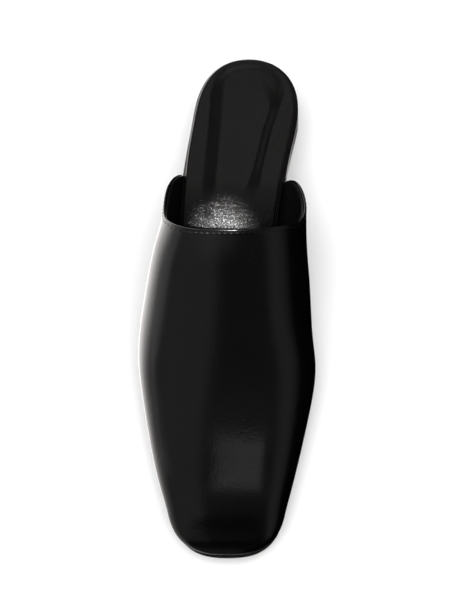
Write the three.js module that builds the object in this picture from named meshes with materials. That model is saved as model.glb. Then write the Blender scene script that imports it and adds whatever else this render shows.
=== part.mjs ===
// A square-toed leather mule for the right foot: a closed vamp over the forefoot, an open back, and a low
// block heel.
// Millimetres, +Z up. The toe points to -Y and the inner side of the foot is +X.
// Every shape is worked out along stations, which count millimetres along the floor from the back of the heel.
import * as THREE from "three";

// ---------------------------------------------------------------- driving sizes

const LENGTH = 254;            // back of the sole to the tip of the sole
const GAP = 0.3;               // left between pieces that are glued together

const SOLE_THICK = 3.5;
const SOLE_BEVEL = 0.6;
const INSOLE_THICK = 2.0;
const SOCK_THICK = 2.4;        // at its rim, back to the ball; the heel seat is hollowed by SEAT_HOLLOW
const SOCK_TOE_THICK = 1.4;    // under the toes, where it is not padded
const SOCK_THIN_FROM = 220;    // station where it is down to that
const SEAT_HOLLOW = 1.1;
const WALL = 2.2;              // vamp leather and its lining together

const SEAT_BACK = 29;          // underside of the sole above the floor, at the very back
const SEAT_FALL = 0.075;       // drop of the heel seat per millimetre forwards
const BREAST = 62;             // station where the heel ends and the arch begins
const ARCH_SKEW = 1.25;        // above 1 the arch falls late, nearer to the ball than to the heel
const TREAD_BACK = 152;        // the sole lies flat on the floor from here
const TREAD_FRONT = 196;       // to here, and then the toe spring begins
const TOE_SPRING = 6.8;

const HEEL_CAP = 31;           // length of the rounded back of the outline
const HEEL_CAP_POWER = 2.25;
const TOE_CAP = 22;            // length of the squared-off front of the outline
const TOE_CAP_POWER = 2.6;
const TOE_BOX = 7;             // length over which the top of the vamp rounds down to the sole
const TOE_BOX_POWER = 2.2;

const SOLE_EDGE_AT_TOE = 1.2;  // the sole shows in front of the vamp by this much
const VAMP_TIP = LENGTH - SOLE_EDGE_AT_TOE;
const INSOLE_BACK = 0.6;       // the insole starts this far inside the sole's back edge
const INSOLE_TIP = VAMP_TIP - WALL - 2 * GAP;
const SOCK_INSET = 1.2;

const TOP_PIECE_THICK = 4;
const HEEL_SIDE_TAPER = 0.2;   // each side of the heel leans in by this much at the floor
const HEEL_BACK_TAPER = 2.2;
const HEEL_BREAST_TAPER = 3;

// Outline of the insole, which is the bottom edge of the last: its middle line and half its width.
// The rounding at the heel and the toe comes on top of it. margin is how far the sole reaches past it.
const OUTLINE = [
  { station: 0, middle: 11.6, half: 26.6, margin: 0.6 },
  { station: 15, middle: 11.3, half: 26.3, margin: 0.6 },
  { station: 30, middle: 9.8, half: 26.2, margin: 0.6 },
  { station: 45, middle: 6.8, half: 26.0, margin: 0.6 },
  { station: 60, middle: 4.1, half: 25.4, margin: 1.0 },
  { station: 75, middle: 2.1, half: 24.8, margin: 1.8 },
  { station: 90, middle: 0.7, half: 24.9, margin: 2.0 },
  { station: 105, middle: 0.0, half: 27.6, margin: 2.0 },
  { station: 120, middle: -0.2, half: 32.0, margin: 2.0 },
  { station: 135, middle: -0.3, half: 36.8, margin: 2.0 },
  { station: 150, middle: -0.2, half: 40.0, margin: 2.1 },
  { station: 163, middle: 0.1, half: 40.5, margin: 2.2 },
  { station: 180, middle: -0.1, half: 37.9, margin: 2.5 },
  { station: 200, middle: -0.6, half: 34.0, margin: 2.9 },
  { station: 216, middle: -0.7, half: 29.9, margin: 3.2 },
  { station: 232, middle: -0.4, half: 25.2, margin: 3.4 },
  { station: 254, middle: 0.0, half: 21.6, margin: 3.5 },
];

// Sections of the vamp's outer face: how far it reaches out to each side, the share of its height where it
// reaches that far, the height of its crown above the floor, how far the crown stands towards the inner
// side, and how squarely it turns over its top.
const SECTIONS = [
  { station: 56, outer: 23.6, inner: 27.5, widest: 0.46, crown: 101.6, ridge: 4.0, square: 2.2 },
  { station: 66, outer: 27.6, inner: 36.2, widest: 0.46, crown: 96.6, ridge: 4.6, square: 2.2 },
  { station: 76, outer: 29.6, inner: 40.4, widest: 0.45, crown: 91.5, ridge: 5.0, square: 2.2 },
  { station: 88, outer: 31.0, inner: 41.2, widest: 0.44, crown: 85.3, ridge: 5.4, square: 2.2 },
  { station: 100, outer: 35.0, inner: 41.3, widest: 0.42, crown: 79.0, ridge: 5.8, square: 2.2 },
  { station: 115, outer: 39.1, inner: 42.3, widest: 0.39, crown: 71.0, ridge: 6.2, square: 2.2 },
  { station: 130, outer: 42.4, inner: 43.0, widest: 0.36, crown: 63.1, ridge: 6.2, square: 2.2 },
  { station: 145, outer: 44.8, inner: 43.9, widest: 0.34, crown: 55.5, ridge: 6.0, square: 2.25 },
  { station: 157, outer: 45.0, inner: 45.0, widest: 0.33, crown: 49.7, ridge: 5.5, square: 2.3 },
  { station: 170, outer: 43.6, inner: 43.9, widest: 0.33, crown: 44.0, ridge: 4.6, square: 2.35 },
  { station: 185, outer: 41.3, inner: 40.9, widest: 0.33, crown: 38.7, ridge: 3.4, square: 2.45 },
  { station: 200, outer: 38.6, inner: 37.4, widest: 0.34, crown: 34.5, ridge: 2.2, square: 2.55 },
  { station: 215, outer: 35.1, inner: 33.7, widest: 0.35, crown: 31.6, ridge: 1.2, square: 2.7 },
  { station: 224, outer: 32.5, inner: 31.3, widest: 0.36, crown: 29.5, ridge: 0.7, square: 2.8 },
  { station: 232, outer: 30.3, inner: 29.2, widest: 0.37, crown: 26.4, ridge: 0.4, square: 2.8 },
  { station: 240, outer: 28.6, inner: 27.7, widest: 0.38, crown: 21.9, ridge: 0.2, square: 2.8 },
  { station: 248, outer: 27.3, inner: 26.6, widest: 0.39, crown: 17.6, ridge: 0.1, square: 2.8 },
  { station: 254, outer: 26.4, inner: 25.9, widest: 0.4, crown: 14.4, ridge: 0.0, square: 2.8 },
];

// The topline, from the back of the outer wing over the instep to the back of the inner wing. round is the
// place around the section: 0 is the crown and 1 the bottom edge, negative on the outer side.
const TOPLINE = [
  { round: -1.0, station: 59.4 },
  { round: -0.935, station: 61.2 },
  { round: -0.875, station: 63.5 },
  { round: -0.835, station: 65.8 },
  { round: -0.79, station: 69.2 },
  { round: -0.75, station: 73.3 },
  { round: -0.69, station: 80.3 },
  { round: -0.61, station: 85.5 },
  { round: -0.53, station: 89.3 },
  { round: -0.44, station: 92.4 },
  { round: -0.335, station: 95.5 },
  { round: -0.24, station: 97.6 },
  { round: -0.13, station: 98.9 },
  { round: 0.0, station: 99.4 },
  { round: 0.12, station: 98.9 },
  { round: 0.24, station: 97.5 },
  { round: 0.38, station: 95.3 },
  { round: 0.525, station: 91.6 },
  { round: 0.61, station: 87.1 },
  { round: 0.69, station: 81.5 },
  { round: 0.75, station: 74.4 },
  { round: 0.785, station: 70.4 },
  { round: 0.82, station: 68.0 },
  { round: 0.87, station: 66.1 },
  { round: 0.93, station: 64.8 },
  { round: 1.0, station: 63.7 },
];
const ROUND_SCALE = 70;        // millimetres of leather from the crown to the bottom edge, for even spacing
const SIDE_SHARE = 0.7;        // the widest line lies here between the crown (0) and the bottom edge (1)
const WALL_POWER = 2.2;        // how roundly the wall swings out from its foot to the widest line
const TURN_POWER = 2.1;        // how roundly it turns in above the widest line

// How finely the pieces are cut.
const VAMP_ROWS = 30;
const VAMP_COLUMNS = 44;
const ROW_CROWDING = 2.4;      // above 1 the rows stand closer together towards the toe
const COLUMNS_EVEN_AT = 0.45;  // share of the way to the toe by which the columns are evenly spread
const TOPLINE_SAMPLES = 2000;  // for measuring the topline's length
const PLATE_STATIONS = 40;
const PLATE_ACROSS = 6;
const HEEL_STATIONS = 16;
const END_CROWDING = 0.9;      // 0 spaces stations evenly, and near 1 they crowd at both ends
const END_SHARE = 0.0005;      // share of a plate's length left off at its ends, where it has no width
const TIP_SHORT = 0.05;        // the same at the tip of the vamp, in millimetres

// ---------------------------------------------------------------- tables and curves

// A natural cubic spline through one column of a table, as a function of the station.
function spline(table, column) {
  const x = table.map((row) => row.station);
  const y = table.map((row) => row[column]);
  const n = x.length;
  const bend = new Array(n).fill(0);
  const carry = new Array(n).fill(0);
  for (let i = 1; i < n - 1; i++) {
    const left = x[i] - x[i - 1];
    const right = x[i + 1] - x[i];
    const pivot = 2 * (left + right) - left * (i > 1 ? carry[i - 1] : 0);
    const turn = 6 * ((y[i + 1] - y[i]) / right - (y[i] - y[i - 1]) / left);
    carry[i] = right / pivot;
    bend[i] = (turn - left * bend[i - 1]) / pivot;
  }
  for (let i = n - 3; i > 0; i--) bend[i] -= carry[i] * bend[i + 1];
  return (s) => {
    let i = 0;
    while (i < n - 2 && s > x[i + 1]) i++;
    const span = x[i + 1] - x[i];
    const a = (x[i + 1] - s) / span;
    const b = 1 - a;
    return a * y[i] + b * y[i + 1] + (((a ** 3 - a) * bend[i] + (b ** 3 - b) * bend[i + 1]) * span * span) / 6;
  };
}

const outline = Object.fromEntries(["middle", "half", "margin"].map((c) => [c, spline(OUTLINE, c)]));
const vamp = Object.fromEntries(
  ["outer", "inner", "widest", "crown", "ridge", "square"].map((c) => [c, spline(SECTIONS, c)]),
);

// Share of the full width that is left near an end: 1 until the rounding begins and 0 at the very end.
function rounding(distanceFromEnd, length, power) {
  const t = THREE.MathUtils.clamp(1 - distanceFromEnd / length, 0, 1);
  return (1 - t ** power) ** (1 / power);
}

// Height of the sole's underside: the heel seat, the arch, the flat tread and the toe spring.
function undersideZ(s) {
  const seat = (x) => SEAT_BACK - SEAT_FALL * x;
  if (s <= BREAST) return seat(s);
  if (s < TREAD_BACK) {
    const span = TREAD_BACK - BREAST;
    const t = (s - BREAST) / span;
    const stay = 1 - THREE.MathUtils.smoothstep(t ** ARCH_SKEW, 0, 1);
    return seat(BREAST) * stay - SEAT_FALL * span * t * (1 - t) ** 2;
  }
  if (s <= TREAD_FRONT) return 0;
  return TOE_SPRING * ((s - TREAD_FRONT) / (LENGTH - TREAD_FRONT)) ** 2;
}

const soleTopZ = (s) => undersideZ(s) + SOLE_THICK;
const insoleTopZ = (s) => soleTopZ(s) + GAP + INSOLE_THICK;
const sockThick = (s) =>
  SOCK_THICK - (SOCK_THICK - SOCK_TOE_THICK) * THREE.MathUtils.smoothstep(s, TREAD_BACK, SOCK_THIN_FROM);
const forward = (s) => LENGTH / 2 - s;
const at = (x, s, z) => new THREE.Vector3(x, forward(s), z);

// Left and right edge of a plate that follows the last's outline, grown outwards by `grow`.
function plateEdges(s, { back, tip, grow }) {
  const wide = outline.half(s) + grow(s);
  const heelRound = rounding(s - back, HEEL_CAP, HEEL_CAP_POWER);
  const toeRound = rounding(tip - s, TOE_CAP - (LENGTH - tip), TOE_CAP_POWER);
  const half = wide * heelRound * toeRound;
  return [outline.middle(s) - half, outline.middle(s) + half];
}

// Stations from `back` to `tip`, close together where the ends are rounded.
function stationsBetween(back, tip, count) {
  const stations = [];
  for (let i = 0; i <= count; i++) {
    const t = i / count;
    const eased = t - (END_CROWDING * Math.sin(2 * Math.PI * t)) / (2 * Math.PI);
    stations.push(THREE.MathUtils.lerp(back, tip, THREE.MathUtils.clamp(eased, END_SHARE, 1 - END_SHARE)));
  }
  return stations;
}

// ---------------------------------------------------------------- meshes

function geometryOf(points, triangles) {
  const geometry = new THREE.BufferGeometry();
  geometry.setAttribute("position", new THREE.Float32BufferAttribute(points.flatMap((p) => p.toArray()), 3));
  geometry.setIndex(triangles);
  geometry.computeVertexNormals();
  return geometry;
}

// Two triangles for the corners a, b, c, d of a face, in order around it.
const quad = (a, b, c, d) => [a, b, c, a, c, d];

// Joins closed rings of equal size, one behind the other, and closes both ends over their middles.
function loft(rings) {
  const size = rings[0].length;
  const points = rings.flat();
  const triangles = [];
  for (let i = 0; i + 1 < rings.length; i++) {
    for (let j = 0; j < size; j++) {
      const k = (j + 1) % size;
      triangles.push(...quad(i * size + k, i * size + j, (i + 1) * size + j, (i + 1) * size + k));
    }
  }
  const last = (rings.length - 1) * size;
  for (const [first, ring] of [[0, rings[0]], [last, rings.at(-1)]]) {
    const middle = points.push(ring.reduce((sum, p) => sum.add(p), new THREE.Vector3()).divideScalar(size)) - 1;
    for (let j = 0; j < size; j++) {
      const edge = [first + j, first + ((j + 1) % size)];
      triangles.push(middle, ...(first === 0 ? edge : edge.reverse()));
    }
  }
  return geometryOf(points, triangles);
}

// Section of a plate at one station: along its top from the outer to the inner side, and back underneath.
function plateRing(s, [left, right], topZ, bottomZ, bevel) {
  const bevelHere = Math.min(bevel, (right - left) / 4);
  const across = Array.from({ length: PLATE_ACROSS + 1 }, (_, i) =>
    THREE.MathUtils.lerp(left + bevelHere, right - bevelHere, i / PLATE_ACROSS),
  );
  const share = (x) => (2 * x - left - right) / (right - left);
  const top = across.map((x) => at(x, s, topZ(s, share(x))));
  const bottom = across.map((x) => at(x, s, bottomZ(s))).reverse();
  if (bevel === 0) return [...top, ...bottom];
  const upper = (x) => at(x, s, topZ(s, share(x)) - bevel);
  const lower = (x) => at(x, s, bottomZ(s) + bevel);
  return [...top, upper(right), lower(right), ...bottom, lower(left), upper(left)];
}

function plate({ back, tip, grow, topZ, bottomZ, bevel }) {
  const rings = stationsBetween(back, tip, PLATE_STATIONS).map((s) =>
    plateRing(s, plateEdges(s, { back, tip, grow }), topZ, bottomZ, bevel),
  );
  return loft(rings);
}

// ---------------------------------------------------------------- the pieces

function outsole() {
  return plate({
    back: 0,
    tip: LENGTH,
    grow: (s) => outline.margin(s),
    topZ: soleTopZ,
    bottomZ: undersideZ,
    bevel: SOLE_BEVEL,
  });
}

function insole() {
  return plate({
    back: INSOLE_BACK,
    tip: INSOLE_TIP,
    grow: () => 0,
    topZ: insoleTopZ,
    bottomZ: (s) => soleTopZ(s) + GAP,
    bevel: 0,
  });
}

// The padded sock, hollowed over the heel seat.
function sock() {
  const hollow = (s) =>
    SEAT_HOLLOW * rounding(s, HEEL_CAP, HEEL_CAP_POWER) ** 2 *
    (1 - THREE.MathUtils.smoothstep(s, BREAST, TREAD_BACK));
  return plate({
    back: INSOLE_BACK + SOCK_INSET / 2,
    tip: INSOLE_TIP - SOCK_INSET,
    grow: (s) => -SOCK_INSET * THREE.MathUtils.smoothstep(s, BREAST / 2, TREAD_BACK) - SOCK_INSET / 2,
    topZ: (s, share) => insoleTopZ(s) + GAP + sockThick(s) - hollow(s) * (1 - share * share),
    bottomZ: (s) => insoleTopZ(s) + GAP,
    bevel: 0,
  });
}

// A layer of the heel between two heights. Its outline is the sole's, drawn in towards the floor.
function heelLayer(topOf, bottomZ) {
  const sole = { back: 0, tip: LENGTH, grow: (s) => outline.margin(s) };
  const corner = (s, side, z) => {
    const down = 1 - z / undersideZ(s);
    const edges = plateEdges(s, sole);
    const drawnIn = Math.min(HEEL_SIDE_TAPER * down, (edges[1] - edges[0]) / 4);
    const lean = THREE.MathUtils.lerp(HEEL_BACK_TAPER, -HEEL_BREAST_TAPER, s / BREAST);
    return at(edges[side] + (side ? -drawnIn : drawnIn), s + lean * down, z);
  };
  const rings = stationsBetween(0, 2 * BREAST, 2 * HEEL_STATIONS)
    .slice(0, HEEL_STATIONS + 1)
    .map((s) => {
      const top = topOf(s);
      return [corner(s, 0, top), corner(s, 1, top), corner(s, 1, bottomZ), corner(s, 0, bottomZ)];
    });
  return loft(rings);
}

const heelBlock = () => heelLayer((s) => undersideZ(s) - GAP, TOP_PIECE_THICK + GAP);
const topPiece = () => heelLayer(() => TOP_PIECE_THICK, 0);

// A point of the vamp. depth 0 is its outer face and depth WALL its inner one.
function vampPoint(s, round, depth) {
  const tip = VAMP_TIP - depth;
  const toeRound = rounding(tip - s, TOE_CAP - depth, TOE_CAP_POWER);
  const toeFall = rounding(tip - s, TOE_BOX - depth, TOE_BOX_POWER);
  const side = round < 0 ? -1 : 1;
  const reach = (side < 0 ? vamp.outer(s) : vamp.inner(s)) - depth;
  const foot = outline.half(s) + side * outline.middle(s) + GAP + WALL - depth;
  const footZ = soleTopZ(s) + GAP;
  const crownZ = footZ + (vamp.crown(s) - depth - footZ) * toeFall;
  const widestZ = THREE.MathUtils.lerp(footZ, crownZ, vamp.widest(s));
  const share = Math.abs(round);
  if (share >= SIDE_SHARE) {
    const up = (1 - share) / (1 - SIDE_SHARE);
    const out = THREE.MathUtils.lerp(foot, reach, 1 - (1 - up) ** WALL_POWER);
    return at(side * out * toeRound, s, THREE.MathUtils.lerp(footZ, widestZ, up));
  }
  const angle = (1 - share / SIDE_SHARE) * (Math.PI / 2);
  const ridge = vamp.ridge(s);
  const across = (reach - side * ridge) * Math.cos(angle) ** (2 / vamp.square(s));
  const up = Math.sin(angle) ** (2 / TURN_POWER);
  return at((ridge + side * across) * toeRound, s, THREE.MathUtils.lerp(widestZ, crownZ, up));
}

// The vamp is a wall between two faces. Each column of a face starts on the topline and runs to the toe.
function upper() {
  const topline = new THREE.SplineCurve(
    TOPLINE.map((row) => new THREE.Vector2(row.round * ROUND_SCALE, row.station)),
  );
  topline.arcLengthDivisions = TOPLINE_SAMPLES;
  const starts = topline.getSpacedPoints(VAMP_COLUMNS);
  const face = (depth) => {
    const end = VAMP_TIP - depth - TIP_SHORT;
    const rows = [];
    for (let i = 0; i <= VAMP_ROWS; i++) {
      const t = i / VAMP_ROWS;
      const along = 1 - (1 - t) ** ROW_CROWDING;
      const spread = THREE.MathUtils.smoothstep(t, 0, COLUMNS_EVEN_AT);
      rows.push(starts.map((start, j) => {
        const s = THREE.MathUtils.lerp(start.y, end, along);
        const round = THREE.MathUtils.lerp(start.x / ROUND_SCALE, (2 * j) / VAMP_COLUMNS - 1, spread);
        return vampPoint(s, round, depth);
      }));
    }
    return rows;
  };
  const outerFace = face(0);
  const innerFace = face(WALL);
  const width = VAMP_COLUMNS + 1;
  const points = [...outerFace.flat(), ...innerFace.flat()];
  const out = (i, j) => i * width + j;
  const inn = (i, j) => (VAMP_ROWS + 1) * width + i * width + j;
  const triangles = [];
  for (let i = 0; i < VAMP_ROWS; i++) {
    for (let j = 0; j < VAMP_COLUMNS; j++) {
      triangles.push(...quad(out(i, j), out(i + 1, j), out(i + 1, j + 1), out(i, j + 1)));
      triangles.push(...quad(inn(i, j), inn(i, j + 1), inn(i + 1, j + 1), inn(i + 1, j)));
    }
    triangles.push(...quad(out(i, 0), inn(i, 0), inn(i + 1, 0), out(i + 1, 0)));
    triangles.push(...quad(
      out(i, VAMP_COLUMNS), out(i + 1, VAMP_COLUMNS), inn(i + 1, VAMP_COLUMNS), inn(i, VAMP_COLUMNS)));
  }
  for (let j = 0; j < VAMP_COLUMNS; j++) {
    triangles.push(...quad(out(0, j), out(0, j + 1), inn(0, j + 1), inn(0, j)));
  }
  const tip = VAMP_ROWS;
  const middles = [out, inn].map((index) => {
    const middle = points[index(tip, 0)].clone().lerp(points[index(tip, VAMP_COLUMNS)], 0.5);
    return points.push(middle) - 1;
  });
  for (let j = 0; j < VAMP_COLUMNS; j++) {
    triangles.push(middles[0], out(tip, j + 1), out(tip, j), middles[1], inn(tip, j), inn(tip, j + 1));
  }
  triangles.push(...quad(out(tip, 0), inn(tip, 0), middles[1], middles[0]));
  triangles.push(...quad(middles[0], middles[1], inn(tip, VAMP_COLUMNS), out(tip, VAMP_COLUMNS)));
  return geometryOf(points, triangles);
}

// ---------------------------------------------------------------- the mule

const glossLeather = new THREE.MeshStandardMaterial({ color: 0x0c0b0b, roughness: 0.22, metalness: 0 });
const sockLeather = new THREE.MeshStandardMaterial({ color: 0x1a1919, roughness: 0.45, metalness: 0 });
const coveredBoard = new THREE.MeshStandardMaterial({ color: 0x121111, roughness: 0.5, metalness: 0 });
const soleLeather = new THREE.MeshStandardMaterial({ color: 0x161514, roughness: 0.4, metalness: 0 });
const lacquer = new THREE.MeshStandardMaterial({ color: 0x080808, roughness: 0.12, metalness: 0 });
const rubber = new THREE.MeshStandardMaterial({ color: 0x141414, roughness: 0.8, metalness: 0 });

const mule = new THREE.Group();
for (const [name, geometry, material] of [
  ["outsole", outsole(), soleLeather],
  ["heel_block", heelBlock(), lacquer],
  ["top_piece", topPiece(), rubber],
  ["insole", insole(), coveredBoard],
  ["sock", sock(), sockLeather],
  ["upper", upper(), glossLeather],
]) {
  const mesh = new THREE.Mesh(geometry, material);
  mesh.name = name;
  mule.add(mesh);
}

// The origin is under the middle of the mule's box, on the floor.
const middle = new THREE.Box3().setFromObject(mule).getCenter(new THREE.Vector3());
mule.position.set(-middle.x, -middle.y, 0);

export default mule;
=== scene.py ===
"""Looks of a square-toed leather mule for the right foot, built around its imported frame.

Shapes are worked out in millimetres along stations, as the part is: a station counts from the back
of the sole towards the toe. Pieces are turned into metres when their mesh is made.
"""

import math

import bpy
import numpy as np
from mathutils import Matrix, Vector


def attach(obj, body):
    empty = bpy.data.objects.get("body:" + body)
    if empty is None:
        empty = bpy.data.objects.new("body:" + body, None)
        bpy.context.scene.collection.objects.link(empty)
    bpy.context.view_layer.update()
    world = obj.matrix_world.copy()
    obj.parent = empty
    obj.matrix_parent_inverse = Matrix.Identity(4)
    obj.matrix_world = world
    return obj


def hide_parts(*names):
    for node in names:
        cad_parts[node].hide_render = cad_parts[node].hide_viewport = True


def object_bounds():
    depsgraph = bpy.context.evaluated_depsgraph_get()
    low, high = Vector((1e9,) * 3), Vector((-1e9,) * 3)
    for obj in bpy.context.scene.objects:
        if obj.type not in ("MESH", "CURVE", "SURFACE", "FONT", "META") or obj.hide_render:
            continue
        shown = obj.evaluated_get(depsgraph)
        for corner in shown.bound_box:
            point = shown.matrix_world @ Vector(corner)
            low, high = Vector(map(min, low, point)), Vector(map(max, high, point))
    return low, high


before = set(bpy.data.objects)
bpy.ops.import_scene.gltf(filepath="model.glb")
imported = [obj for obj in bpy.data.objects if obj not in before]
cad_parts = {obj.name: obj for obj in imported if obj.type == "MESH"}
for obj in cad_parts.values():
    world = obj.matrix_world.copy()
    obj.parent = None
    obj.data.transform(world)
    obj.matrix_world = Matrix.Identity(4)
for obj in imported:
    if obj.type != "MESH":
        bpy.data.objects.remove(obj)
cad_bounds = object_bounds()

# ---------------------------------------------------------------- sizes, in millimetres

MM = 0.001
LENGTH = 254.0
GAP = 0.3            # kept between the solids of the part
JOINT = 0.05         # what is left of it between the visible pieces
SOLE_THICK = 3.5
INSOLE_THICK = 2.0
SOCK_THICK = 2.4
SOCK_TOE_THICK = 1.4
SOCK_THIN_FROM = 220.0
WALL = 2.2
LEATHER = 1.25       # the vamp's leather, the lining takes the rest of the wall
LINING_OUTSIDE = 1.32
SEAT_BACK = 29.0
SEAT_FALL = 0.075
BREAST = 62.0
ARCH_SKEW = 1.25
TREAD_BACK = 152.0
TREAD_FRONT = 196.0
TOE_SPRING = 6.8
HEEL_CAP = 31.0
HEEL_CAP_POWER = 2.25
TOE_CAP = 22.0
TOE_CAP_POWER = 2.6
TOE_BOX = 7.0
TOE_BOX_POWER = 2.2
SOLE_EDGE_AT_TOE = 1.2
VAMP_TIP = LENGTH - SOLE_EDGE_AT_TOE
INSOLE_BACK = 0.6
INSOLE_TIP = VAMP_TIP - WALL - 2 * GAP
SOCK_INSET = 1.2
TOP_PIECE_THICK = 4.0
HEEL_SIDE_TAPER = 0.2
HEEL_BACK_TAPER = 2.2
HEEL_BREAST_TAPER = 3.0
ROUND_SCALE = 70.0
SIDE_SHARE = 0.7
WALL_POWER = 2.2
TURN_POWER = 2.1


def table(columns, rows):
    """A dict of arrays, one for each named column."""
    values = np.array([[float(v) for v in line.split()] for line in rows.strip().splitlines()])
    return {name: values[:, i] for i, name in enumerate(columns.split())}


# The last's bottom edge: its middle line, half its width, and how far the sole reaches past it.
OUTLINE = table("station middle half margin", """
    0   11.6  26.6  0.6
    15  11.3  26.3  0.6
    30  9.8   26.2  0.6
    45  6.8   26.0  0.6
    60  4.1   25.4  1.0
    75  2.1   24.8  1.8
    90  0.7   24.9  2.0
    105 0.0   27.6  2.0
    120 -0.2  32.0  2.0
    135 -0.3  36.8  2.0
    150 -0.2  40.0  2.1
    163 0.1   40.5  2.2
    180 -0.1  37.9  2.5
    200 -0.6  34.0  2.9
    216 -0.7  29.9  3.2
    232 -0.4  25.2  3.4
    254 0.0   21.6  3.5
""")

# Sections of the vamp's outer face, as in the part.
SECTIONS = table("station outer inner widest crown ridge square", """
    56  23.6 27.5 0.46 101.6 4.0 2.2
    66  27.6 36.2 0.46 96.6  4.6 2.2
    76  29.6 40.4 0.45 91.5  5.0 2.2
    88  31.0 41.2 0.44 85.3  5.4 2.2
    100 35.0 41.3 0.42 79.0  5.8 2.2
    115 39.1 42.3 0.39 71.0  6.2 2.2
    130 42.4 43.0 0.36 63.1  6.2 2.2
    145 44.8 43.9 0.34 55.5  6.0 2.25
    157 45.0 45.0 0.33 49.7  5.5 2.3
    170 43.6 43.9 0.33 44.0  4.6 2.35
    185 41.3 40.9 0.33 38.7  3.4 2.45
    200 38.6 37.4 0.34 34.5  2.2 2.55
    215 35.1 33.7 0.35 31.6  1.2 2.7
    224 32.5 31.3 0.36 29.5  0.7 2.8
    232 30.3 29.2 0.37 26.4  0.4 2.8
    240 28.6 27.7 0.38 21.9  0.2 2.8
    248 27.3 26.6 0.39 17.6  0.1 2.8
    254 26.4 25.9 0.4  14.4  0.0 2.8
""")

# The topline: turn is 0 at the crown and 1 at the bottom edge, negative on the outer side.
TOPLINE = table("turn station", """
    -1.0   59.4
    -0.935 61.2
    -0.875 63.5
    -0.835 65.8
    -0.79  69.2
    -0.75  73.3
    -0.69  80.3
    -0.61  85.5
    -0.53  89.3
    -0.44  92.4
    -0.335 95.5
    -0.24  97.6
    -0.13  98.9
    0.0    99.4
    0.12   98.9
    0.24   97.5
    0.38   95.3
    0.525  91.6
    0.61   87.1
    0.69   81.5
    0.75   74.4
    0.785  70.4
    0.82   68.0
    0.87   66.1
    0.93   64.8
    1.0    63.7
""")

# ---------------------------------------------------------------- curves


def spline(x, y):
    """A natural cubic spline through the points, as a function of an array."""
    step = np.diff(x)
    slope = np.diff(y) / step
    count = len(x)
    system = np.eye(count)
    turn = np.zeros(count)
    for i in range(1, count - 1):
        system[i, i - 1:i + 2] = step[i - 1], 2 * (step[i - 1] + step[i]), step[i]
        turn[i] = 6 * (slope[i] - slope[i - 1])
    bend = np.linalg.solve(system, turn)

    def value(s):
        s = np.asarray(s, float)
        i = np.clip(np.searchsorted(x, s) - 1, 0, count - 2)
        span = step[i]
        a = (x[i + 1] - s) / span
        b = 1 - a
        curve = ((a ** 3 - a) * bend[i] + (b ** 3 - b) * bend[i + 1]) * span * span / 6
        return a * y[i] + b * y[i + 1] + curve

    return value


def splines(rows):
    return {name: spline(rows["station"], values) for name, values in rows.items() if name != "station"}


outline = splines(OUTLINE)
vamp = splines(SECTIONS)


def smoothstep(x, low, high):
    t = np.clip((np.asarray(x, float) - low) / (high - low), 0, 1)
    return t * t * (3 - 2 * t)


def rounding(distance_from_end, length, power):
    """Share of the full width left near an end: 1 before the rounding and 0 at the very end."""
    t = np.clip(1 - distance_from_end / length, 0, 1)
    return (1 - t ** power) ** (1 / power)


def underside(s):
    """Height of the sole's underside: heel seat, arch, flat tread and toe spring."""
    s = np.asarray(s, float)
    span = TREAD_BACK - BREAST
    t = np.clip((s - BREAST) / span, 0, 1)
    seat_end = SEAT_BACK - SEAT_FALL * BREAST
    arch = seat_end * (1 - smoothstep(t ** ARCH_SKEW, 0, 1)) - SEAT_FALL * span * t * (1 - t) ** 2
    toe = TOE_SPRING * (np.clip(s - TREAD_FRONT, 0, None) / (LENGTH - TREAD_FRONT)) ** 2
    return np.where(s <= BREAST, SEAT_BACK - SEAT_FALL * s, arch) + toe


def sole_top(s):
    return underside(s) + SOLE_THICK


def insole_top(s):
    return sole_top(s) + GAP + INSOLE_THICK


def sock_thick(s):
    return SOCK_THICK - (SOCK_THICK - SOCK_TOE_THICK) * smoothstep(s, TREAD_BACK, SOCK_THIN_FROM)


def at(x, s, z):
    """Points of the frame, in millimetres, from a distance inwards, a station and a height."""
    return np.stack(np.broadcast_arrays(x, LENGTH / 2 - np.asarray(s, float), z), axis=-1)


def vamp_point(s, turn, depth):
    """Points of the vamp: depth 0 is its outer face and depth WALL its inner one."""
    s, turn, depth = np.broadcast_arrays(*(np.asarray(v, float) for v in (s, turn, depth)))
    tip = VAMP_TIP - depth
    toe_round = rounding(tip - s, TOE_CAP - depth, TOE_CAP_POWER)
    toe_fall = rounding(tip - s, TOE_BOX - depth, TOE_BOX_POWER)
    side = np.where(turn < 0, -1.0, 1.0)
    reach = np.where(turn < 0, vamp["outer"](s), vamp["inner"](s)) - depth
    foot = outline["half"](s) + side * outline["middle"](s) + GAP + WALL - depth
    foot_z = sole_top(s) + JOINT
    crown_z = foot_z + (vamp["crown"](s) - depth - foot_z) * toe_fall
    widest_z = foot_z + (crown_z - foot_z) * vamp["widest"](s)
    share = np.abs(turn)
    up = np.clip((1 - share) / (1 - SIDE_SHARE), 0, 1)
    wall_x = side * (foot + (reach - foot) * (1 - (1 - up) ** WALL_POWER))
    wall_z = foot_z + (widest_z - foot_z) * up
    angle = np.clip(1 - share / SIDE_SHARE, 0, 1) * (math.pi / 2)
    ridge = vamp["ridge"](s)
    across = (reach - side * ridge) * np.clip(np.cos(angle), 0, 1) ** (2 / vamp["square"](s))
    roof_x = ridge + side * across
    roof_z = widest_z + (crown_z - widest_z) * np.sin(angle) ** (2 / TURN_POWER)
    low = share >= SIDE_SHARE
    return at(np.where(low, wall_x, roof_x) * toe_round, s, np.where(low, wall_z, roof_z))


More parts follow.
